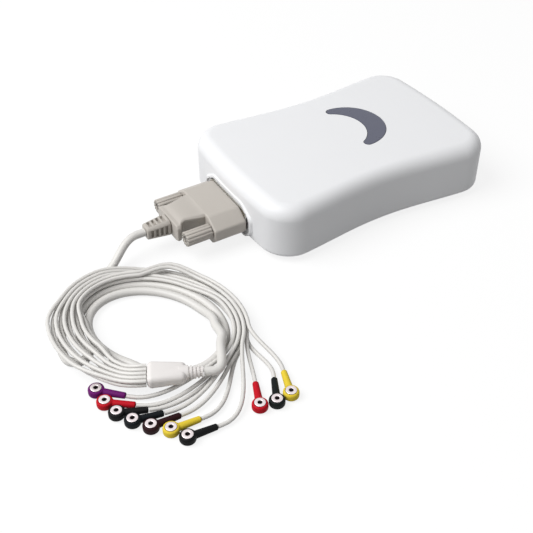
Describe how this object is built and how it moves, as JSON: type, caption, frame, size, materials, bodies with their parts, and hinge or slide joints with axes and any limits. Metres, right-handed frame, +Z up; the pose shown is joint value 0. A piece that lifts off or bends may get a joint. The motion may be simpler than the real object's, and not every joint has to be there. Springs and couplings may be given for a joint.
{
  "type": "pc ecg machine",
  "caption": "White box-shaped ECG recorder for a computer, its D-sub plug screwed in, with a coiled patient cable, splitter yoke and colour-coded snap leads.",
  "frame": {"origin": "on the table under the middle of the recorder's box, its collar counted in", "axes": "+X along the box from the patient cable's plug to the USB end, +Y across the box away from the cable's coil, +Z up"},
  "size_m": [0.268, 0.1816, 0.0341],
  "materials": {
    "white_case_plastic": "satin",
    "bottom_plate_plastic": "fine texture",
    "grey_blue_window": "satin, translucent from behind",
    "foot_rubber": "matt",
    "zinc_plated_steel": "bright",
    "nickel_plated_shell": "satin",
    "gold_plated_contact": "bright",
    "board_laminate": "solder mask",
    "black_resin": "matt",
    "ferrite_core": "matt",
    "lamp_resin": "clear",
    "usb_insulator": "matt",
    "socket_insulator_resin": "matt",
    "warm_grey_hood": "satin",
    "warm_grey_cord": "satin PVC",
    "pale_yoke": "satin PVC",
    "boot_purple": "satin PVC",
    "boot_red": "satin PVC",
    "boot_black_one": "satin PVC",
    "boot_black_two": "satin PVC",
    "boot_brown": "satin PVC",
    "boot_yellow": "satin PVC",
    "boot_black_three": "satin PVC",
    "boot_limb_red": "satin PVC",
    "boot_limb_black": "satin PVC",
    "boot_limb_yellow": "satin PVC"
  },
  "bodies": {
    "recorder": {"top_cover": "white_case_plastic", "bottom_cover": "bottom_plate_plastic", "crescent_window": "grey_blue_window", "foot_strip_plug_end": "foot_rubber", "foot_strip_usb_end": "foot_rubber", "case_screw_1": "zinc_plated_steel", "case_screw_2": "zinc_plated_steel", "case_screw_3": "zinc_plated_steel", "case_screw_4": "zinc_plated_steel", "main_board": "board_laminate", "isolation_transformer": "ferrite_core", "amplifier_shield": "nickel_plated_shell", "microcontroller": "black_resin", "status_lamp": "lamp_resin", "usb_inlet_shell": "nickel_plated_shell", "usb_inlet_tongue": "usb_insulator", "socket_shell": "nickel_plated_shell", "socket_insulator": "socket_insulator_resin", "jack_post_near": "zinc_plated_steel", "jack_post_far": "zinc_plated_steel"},
    "patient_cable": {"plug_hood": "warm_grey_hood", "plug_shell": "nickel_plated_shell", "plug_insulator": "black_resin", "plug_pins": "gold_plated_contact", "plug_strain_relief": "warm_grey_hood", "trunk_cable_run": "warm_grey_cord", "trunk_cable_coil": "warm_grey_cord", "yoke_housing": "pale_yoke", "lead_purple": "warm_grey_cord", "lead_red": "warm_grey_cord", "lead_black_one": "warm_grey_cord", "lead_black_two": "warm_grey_cord", "lead_brown": "warm_grey_cord", "lead_yellow": "warm_grey_cord", "lead_black_three": "warm_grey_cord", "lead_limb_red": "warm_grey_cord", "lead_limb_black": "warm_grey_cord", "lead_limb_yellow": "warm_grey_cord", "snap_boot_purple": "boot_purple", "snap_boot_red": "boot_red", "snap_boot_black_one": "boot_black_one", "snap_boot_black_two": "boot_black_two", "snap_boot_brown": "boot_brown", "snap_boot_yellow": "boot_yellow", "snap_boot_black_three": "boot_black_three", "snap_boot_limb_red": "boot_limb_red", "snap_boot_limb_black": "boot_limb_black", "snap_boot_limb_yellow": "boot_limb_yellow", "snap_socket_purple": "nickel_plated_shell", "snap_socket_red": "nickel_plated_shell", "snap_socket_black_one": "nickel_plated_shell", "snap_socket_black_two": "nickel_plated_shell", "snap_socket_brown": "nickel_plated_shell", "snap_socket_yellow": "nickel_plated_shell", "snap_socket_black_three": "nickel_plated_shell", "snap_socket_limb_red": "nickel_plated_shell", "snap_socket_limb_black": "nickel_plated_shell", "snap_socket_limb_yellow": "nickel_plated_shell"},
    "thumbscrew_near": {"thumbscrew_near": "warm_grey_hood"},
    "thumbscrew_far": {"thumbscrew_far": "warm_grey_hood"}
  },
  "joints": [
    {"name": "plug_pull", "type": "slide", "parent": "recorder", "child": "patient_cable", "axis": [-1, 0, 0], "range_m": [0, 0.02]},
    {"name": "thumbscrew_near_turn", "type": "hinge", "parent": "patient_cable", "child": "thumbscrew_near", "pos_m": [-0.09325, -0.01666, 0.0134], "axis": [1, 0, 0], "continuous": true},
    {"name": "thumbscrew_far_turn", "type": "hinge", "parent": "patient_cable", "child": "thumbscrew_far", "pos_m": [-0.09325, 0.01666, 0.0134], "axis": [1, 0, 0], "continuous": true}
  ]
}
